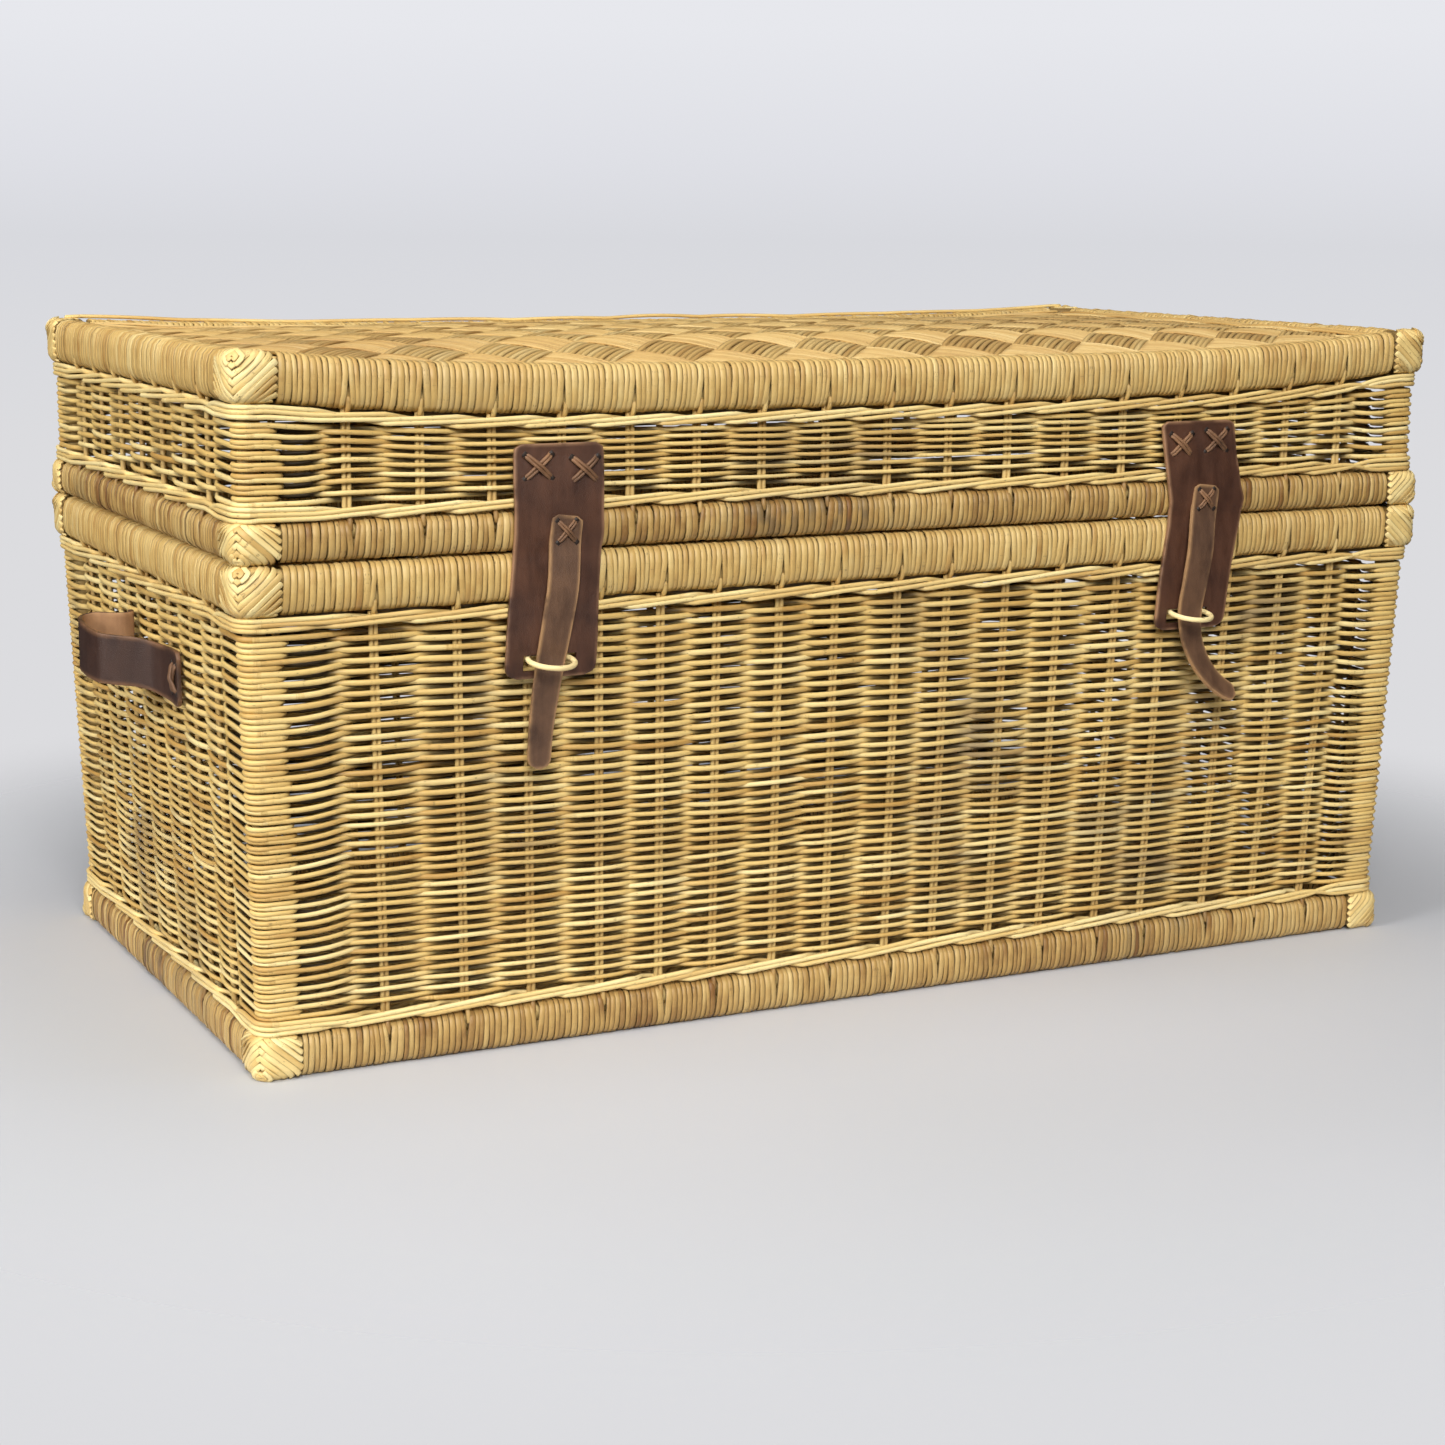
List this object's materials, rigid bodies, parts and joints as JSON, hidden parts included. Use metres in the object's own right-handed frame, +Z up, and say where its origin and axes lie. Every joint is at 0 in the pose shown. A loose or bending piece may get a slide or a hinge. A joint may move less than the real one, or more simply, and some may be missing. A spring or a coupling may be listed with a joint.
{
  "type": "wicker storage trunk",
  "caption": "Rectangular woven cane trunk with a hinged lid, wrapped rims, leather hasps with closing straps through cane rings, and leather end handles.",
  "frame": {"origin": "on the floor under the middle of the woven walls, on the underside of the middle base slat", "axes": "+X across the front to the right, +Y from the front to the hinged back, +Z up"},
  "size_m": [0.9858, 0.5039, 0.456],
  "materials": {
    "cane_wall": "satin split cane, woven",
    "cane_rim": "satin cane wrapping with a light glaze",
    "cane_pale": "pale round cane",
    "cane_plait": "tan flat cane plaited in a twill",
    "rattan_pole": "round rattan rod",
    "pine": "plain planed softwood",
    "leather_brown": "oiled brown leather with pale cut edges",
    "leather_grey": "worn grey brown leather",
    "thong": "dark laced leather thong",
    "cane_cream": "glossy cream cane"
  },
  "bodies": {
    "trunk": {"base_slats": "pine", "base_panel": "cane_plait", "foot_rim_rods": "rattan_pole", "foot_rim_wrap_front": "cane_rim", "foot_rim_wrap_back": "cane_rim", "foot_rim_wrap_sides": "cane_rim", "foot_rim_knots": "cane_rim", "corner_posts": "rattan_pole", "body_stakes": "rattan_pole", "body_weave_front": "cane_wall", "body_weave_back": "cane_wall", "body_weave_left": "cane_wall", "body_weave_right": "cane_wall", "body_lower_wale": "cane_pale", "body_upper_wale": "cane_pale", "mouth_rim_rods": "rattan_pole", "mouth_rim_wrap_front": "cane_rim", "mouth_rim_wrap_back": "cane_rim", "mouth_rim_wrap_sides": "cane_rim", "mouth_rim_knots": "cane_rim", "ring_left": "cane_cream", "ring_right": "cane_cream", "handle_ends": "leather_grey", "handle_lacings": "thong", "hinge_lower_leaves": "leather_brown", "hinge_lower_lacings": "thong"},
    "lid": {"hinge_upper_leaves": "leather_brown", "hinge_upper_lacings": "thong", "lid_rim_rods": "rattan_pole", "lid_rim_wrap_front": "cane_rim", "lid_rim_wrap_back": "cane_rim", "lid_rim_wrap_sides": "cane_rim", "lid_rim_knots": "cane_rim", "lid_posts": "rattan_pole", "lid_stakes": "rattan_pole", "lid_weave_front": "cane_wall", "lid_weave_back": "cane_wall", "lid_weave_left": "cane_wall", "lid_weave_right": "cane_wall", "lid_lower_wale": "cane_pale", "lid_upper_wale": "cane_pale", "top_rim_rods": "rattan_pole", "top_rim_wrap_front": "cane_rim", "top_rim_wrap_back": "cane_rim", "top_rim_wrap_sides": "cane_rim", "top_rim_knots": "cane_rim", "lid_ribs": "rattan_pole", "lid_panel": "cane_plait", "hasp_tabs": "leather_brown", "hasp_lacings": "thong"},
    "hasp_left": {"hasp_left": "leather_brown", "strap_head_left": "leather_grey", "strap_lacing_left": "thong"},
    "hasp_right": {"hasp_right": "leather_brown", "strap_head_right": "leather_grey", "strap_lacing_right": "thong"},
    "strap_left": {"strap_left": "leather_grey"},
    "strap_right": {"strap_right": "leather_grey"},
    "handle_left": {"handle_left": "leather_grey"},
    "handle_right": {"handle_right": "leather_grey"}
  },
  "joints": [
    {"name": "lid_open", "type": "hinge", "parent": "trunk", "child": "lid", "pos_m": [0, 0.23865, 0.327], "axis": [-1, 0, 0], "range_deg": [0, 105]},
    {"name": "hasp_left_swing", "type": "hinge", "parent": "lid", "child": "hasp_left", "pos_m": [-0.247, -0.2389, 0.368], "axis": [-1, 0, 0], "range_deg": [0, 90]},
    {"name": "strap_left_swing", "type": "hinge", "parent": "hasp_left", "child": "strap_left", "pos_m": [-0.247, -0.2421, 0.329], "axis": [-1, 0, 0], "range_deg": [0, 104]},
    {"name": "handle_left_tilt", "type": "hinge", "parent": "trunk", "child": "handle_left", "pos_m": [-0.45672, -0.032, 0.243], "axis": [0, 1, 0], "range_deg": [-20, 25]},
    {"name": "hasp_right_swing", "type": "hinge", "parent": "lid", "child": "hasp_right", "pos_m": [0.247, -0.2389, 0.368], "axis": [-1, 0, 0], "range_deg": [0, 90]},
    {"name": "strap_right_swing", "type": "hinge", "parent": "hasp_right", "child": "strap_right", "pos_m": [0.247, -0.2421, 0.329], "axis": [-1, 0, 0], "range_deg": [0, 104]},
    {"name": "handle_right_tilt", "type": "hinge", "parent": "trunk", "child": "handle_right", "pos_m": [0.45672, -0.032, 0.243], "axis": [0, -1, 0], "range_deg": [-20, 25]}
  ]
}
